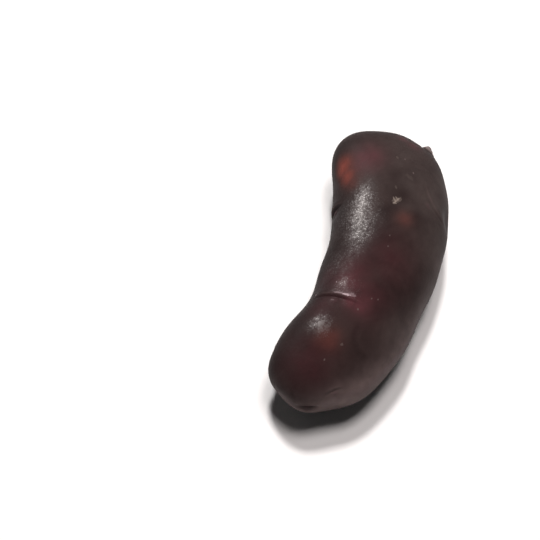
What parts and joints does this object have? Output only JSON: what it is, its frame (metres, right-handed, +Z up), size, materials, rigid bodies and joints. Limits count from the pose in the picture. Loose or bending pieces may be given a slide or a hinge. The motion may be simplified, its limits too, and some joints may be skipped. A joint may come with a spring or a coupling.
{
  "type": "seed potato",
  "caption": "Long, gently bent seed potato with dark purple skin, shallow eyes under arched brows and a small flat on its belly to rest on.",
  "frame": {"origin": "on the surface that the tuber rests on, under the middle of its bounding box", "axes": "+X along the tuber towards the rose end, where the eyes crowd; +Y towards the outside of its bend; +Z up"},
  "size_m": [0.1144, 0.05, 0.0392],
  "materials": {
    "skin": "satin, fine-grained, dark purple-brown potato skin with redder patches"
  },
  "bodies": {
    "root": {"tuber": "skin"}
  },
  "joints": []
}
